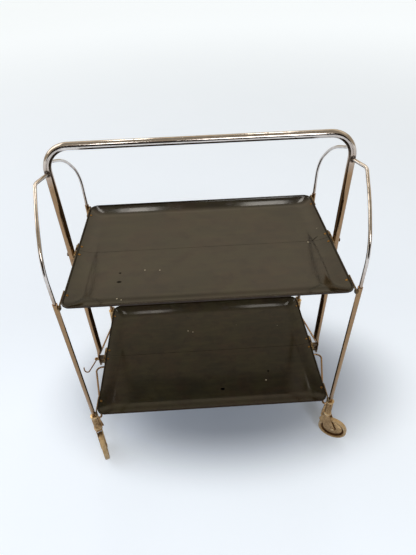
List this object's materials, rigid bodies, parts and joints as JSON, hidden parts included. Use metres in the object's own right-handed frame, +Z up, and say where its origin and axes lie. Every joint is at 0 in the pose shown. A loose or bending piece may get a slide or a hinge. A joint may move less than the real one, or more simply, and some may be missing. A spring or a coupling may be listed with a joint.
{
  "type": "folding tea trolley",
  "caption": "Folding tea trolley: handle frame with two shallow drop leaf trays, stay rods, lower links and swivel casters.",
  "frame": {"origin": "on the floor under the middle of the trolley, at rest with the trays open", "axes": "+X along the handle to the right, +Y to the rear, +Z up"},
  "size_m": [0.6904, 0.481, 0.758],
  "materials": {
    "chrome_tube": "worn chrome plate",
    "chrome_rod": "worn chrome plate",
    "enamel": "satin enamel, scuffed",
    "plated_sheet": "zinc plated",
    "brass_rivet": "dull",
    "caster_metal": "brass plated, tarnished",
    "steel_pin": "dull",
    "rubber_tread": "aged tan rubber"
  },
  "bodies": {
    "frame": {"handle_tube": "chrome_tube", "upper_brackets": "plated_sheet", "lower_brackets": "plated_sheet", "shank_rivets": "steel_pin", "bracket_spacers": "steel_pin", "leaf_pivot_pins": "steel_pin", "hook_ear": "plated_sheet"},
    "upper_front": {"upper_front_leaf": "enamel", "upper_front_lugs": "plated_sheet", "upper_front_rivets": "brass_rivet"},
    "upper_rear": {"upper_rear_leaf": "enamel", "upper_rear_lugs": "plated_sheet", "upper_rear_rivets": "brass_rivet"},
    "lower_front": {"lower_front_leaf": "enamel", "lower_front_lugs": "plated_sheet", "lower_front_rivets": "brass_rivet"},
    "lower_rear": {"lower_rear_leaf": "enamel", "lower_rear_lugs": "plated_sheet", "lower_rear_rivets": "brass_rivet"},
    "left_front_leg_body": {"left_front_leg": "chrome_rod", "left_front_studs": "steel_pin", "left_front_socket": "caster_metal"},
    "left_front_stay_body": {"left_front_stay": "chrome_rod"},
    "left_front_link_body": {"left_front_link": "chrome_rod"},
    "left_front_caster_body": {"left_front_stem": "steel_pin", "left_front_fork": "caster_metal", "left_front_axle": "steel_pin"},
    "left_front_wheel_body": {"left_front_wheel": "caster_metal", "left_front_tread": "rubber_tread"},
    "right_front_leg_body": {"right_front_leg": "chrome_rod", "right_front_studs": "steel_pin", "right_front_socket": "caster_metal"},
    "right_front_stay_body": {"right_front_stay": "chrome_rod"},
    "right_front_link_body": {"right_front_link": "chrome_rod"},
    "right_front_caster_body": {"right_front_stem": "steel_pin", "right_front_fork": "caster_metal", "right_front_axle": "steel_pin"},
    "right_front_wheel_body": {"right_front_wheel": "caster_metal", "right_front_tread": "rubber_tread"},
    "left_rear_leg_body": {"left_rear_leg": "chrome_rod", "left_rear_studs": "steel_pin", "left_rear_socket": "caster_metal"},
    "left_rear_stay_body": {"left_rear_stay": "chrome_rod"},
    "left_rear_link_body": {"left_rear_link": "chrome_rod"},
    "left_rear_caster_body": {"left_rear_stem": "steel_pin", "left_rear_fork": "caster_metal", "left_rear_axle": "steel_pin"},
    "left_rear_wheel_body": {"left_rear_wheel": "caster_metal", "left_rear_tread": "rubber_tread"},
    "right_rear_leg_body": {"right_rear_leg": "chrome_rod", "right_rear_studs": "steel_pin", "right_rear_socket": "caster_metal"},
    "right_rear_stay_body": {"right_rear_stay": "chrome_rod"},
    "right_rear_link_body": {"right_rear_link": "chrome_rod"},
    "right_rear_caster_body": {"right_rear_stem": "steel_pin", "right_rear_fork": "caster_metal", "right_rear_axle": "steel_pin"},
    "right_rear_wheel_body": {"right_rear_wheel": "caster_metal", "right_rear_tread": "rubber_tread"},
    "hook": {"storage_hook": "chrome_rod"}
  },
  "joints": [
    {"name": "upper_front_fold", "type": "hinge", "parent": "frame", "child": "upper_front", "pos_m": [0, -0.015, 0.492], "axis": [1, 0, 0], "range_deg": [0, 82]},
    {"name": "upper_rear_fold", "type": "hinge", "parent": "frame", "child": "upper_rear", "pos_m": [0, 0.015, 0.492], "axis": [1, 0, 0], "range_deg": [-82, 0]},
    {"name": "lower_front_fold", "type": "hinge", "parent": "frame", "child": "lower_front", "pos_m": [0, -0.015, 0.134], "axis": [1, 0, 0], "range_deg": [0, 82]},
    {"name": "lower_rear_fold", "type": "hinge", "parent": "frame", "child": "lower_rear", "pos_m": [0, 0.015, 0.134], "axis": [1, 0, 0], "range_deg": [-82, 0]},
    {"name": "left_front_link_turn", "type": "hinge", "parent": "frame", "child": "left_front_link_body", "pos_m": [-0.293, -0.015, 0.116], "axis": [1, 0, 0], "range_deg": [0, 82]},
    {"name": "left_front_leg_turn", "type": "hinge", "parent": "upper_front", "child": "left_front_leg_body", "pos_m": [-0.293, -0.185, 0.508], "axis": [1, 0, 0], "range_deg": [-82, 0]},
    {"name": "left_front_stay_swing", "type": "hinge", "parent": "left_front_leg_body", "child": "left_front_stay_body", "pos_m": [-0.293, -0.185, 0.5], "axis": [0, 0, 1], "range_deg": [-95, 0]},
    {"name": "left_front_swivel", "type": "hinge", "parent": "left_front_leg_body", "child": "left_front_caster_body", "pos_m": [-0.293, -0.185, 0.1], "axis": [0, 0, 1], "continuous": true},
    {"name": "left_front_roll", "type": "hinge", "parent": "left_front_caster_body", "child": "left_front_wheel_body", "pos_m": [-0.2853, -0.20561, 0.036], "axis": [0.9367, 0.35, 0], "continuous": true},
    {"name": "right_front_link_turn", "type": "hinge", "parent": "frame", "child": "right_front_link_body", "pos_m": [0.293, -0.015, 0.116], "axis": [1, 0, 0], "range_deg": [0, 82]},
    {"name": "right_front_leg_turn", "type": "hinge", "parent": "upper_front", "child": "right_front_leg_body", "pos_m": [0.293, -0.185, 0.508], "axis": [1, 0, 0], "range_deg": [-82, 0]},
    {"name": "right_front_stay_swing", "type": "hinge", "parent": "right_front_leg_body", "child": "right_front_stay_body", "pos_m": [0.293, -0.185, 0.5], "axis": [0, 0, 1], "range_deg": [0, 95]},
    {"name": "right_front_swivel", "type": "hinge", "parent": "right_front_leg_body", "child": "right_front_caster_body", "pos_m": [0.293, -0.185, 0.1], "axis": [0, 0, 1], "continuous": true},
    {"name": "right_front_roll", "type": "hinge", "parent": "right_front_caster_body", "child": "right_front_wheel_body", "pos_m": [0.31214, -0.19585, 0.036], "axis": [0.4931, 0.87, 0], "continuous": true},
    {"name": "left_rear_link_turn", "type": "hinge", "parent": "frame", "child": "left_rear_link_body", "pos_m": [-0.293, 0.015, 0.116], "axis": [1, 0, 0], "range_deg": [-82, 0]},
    {"name": "left_rear_leg_turn", "type": "hinge", "parent": "upper_rear", "child": "left_rear_leg_body", "pos_m": [-0.293, 0.185, 0.508], "axis": [1, 0, 0], "range_deg": [0, 82]},
    {"name": "left_rear_stay_swing", "type": "hinge", "parent": "left_rear_leg_body", "child": "left_rear_stay_body", "pos_m": [-0.293, 0.185, 0.5], "axis": [0, 0, 1], "range_deg": [0, 95]},
    {"name": "left_rear_swivel", "type": "hinge", "parent": "left_rear_leg_body", "child": "left_rear_caster_body", "pos_m": [-0.293, 0.185, 0.1], "axis": [0, 0, 1], "continuous": true},
    {"name": "left_rear_roll", "type": "hinge", "parent": "left_rear_caster_body", "child": "left_rear_wheel_body", "pos_m": [-0.3007, 0.20561, 0.036], "axis": [-0.9367, -0.35, 0], "continuous": true},
    {"name": "right_rear_link_turn", "type": "hinge", "parent": "frame", "child": "right_rear_link_body", "pos_m": [0.293, 0.015, 0.116], "axis": [1, 0, 0], "range_deg": [-82, 0]},
    {"name": "right_rear_leg_turn", "type": "hinge", "parent": "upper_rear", "child": "right_rear_leg_body", "pos_m": [0.293, 0.185, 0.508], "axis": [1, 0, 0], "range_deg": [0, 82]},
    {"name": "right_rear_stay_swing", "type": "hinge", "parent": "right_rear_leg_body", "child": "right_rear_stay_body", "pos_m": [0.293, 0.185, 0.5], "axis": [0, 0, 1], "range_deg": [-95, 0]},
    {"name": "right_rear_swivel", "type": "hinge", "parent": "right_rear_leg_body", "child": "right_rear_caster_body", "pos_m": [0.293, 0.185, 0.1], "axis": [0, 0, 1], "continuous": true},
    {"name": "right_rear_roll", "type": "hinge", "parent": "right_rear_caster_body", "child": "right_rear_wheel_body", "pos_m": [0.27386, 0.19585, 0.036], "axis": [-0.4931, -0.87, 0], "continuous": true},
    {"name": "hook_swing", "type": "hinge", "parent": "frame", "child": "hook", "pos_m": [-0.317, 0.004, 0.13], "axis": [0, 0, 1], "range_deg": [-25, 35]}
  ],
  "couplings": [
    {"joint": "upper_rear_fold", "follows": "upper_front_fold", "ratio": -1},
    {"joint": "lower_front_fold", "follows": "upper_front_fold", "ratio": 1},
    {"joint": "lower_rear_fold", "follows": "upper_front_fold", "ratio": -1},
    {"joint": "left_front_link_turn", "follows": "upper_front_fold", "ratio": 1},
    {"joint": "left_front_leg_turn", "follows": "upper_front_fold", "ratio": -1},
    {"joint": "left_front_stay_swing", "follows": "upper_front_fold", "ratio": -1.1585},
    {"joint": "right_front_link_turn", "follows": "upper_front_fold", "ratio": 1},
    {"joint": "right_front_leg_turn", "follows": "upper_front_fold", "ratio": -1},
    {"joint": "right_front_stay_swing", "follows": "upper_front_fold", "ratio": 1.1585},
    {"joint": "left_rear_link_turn", "follows": "upper_front_fold", "ratio": -1},
    {"joint": "left_rear_leg_turn", "follows": "upper_front_fold", "ratio": 1},
    {"joint": "left_rear_stay_swing", "follows": "upper_front_fold", "ratio": 1.1585},
    {"joint": "right_rear_link_turn", "follows": "upper_front_fold", "ratio": -1},
    {"joint": "right_rear_leg_turn", "follows": "upper_front_fold", "ratio": 1},
    {"joint": "right_rear_stay_swing", "follows": "upper_front_fold", "ratio": -1.1585}
  ]
}
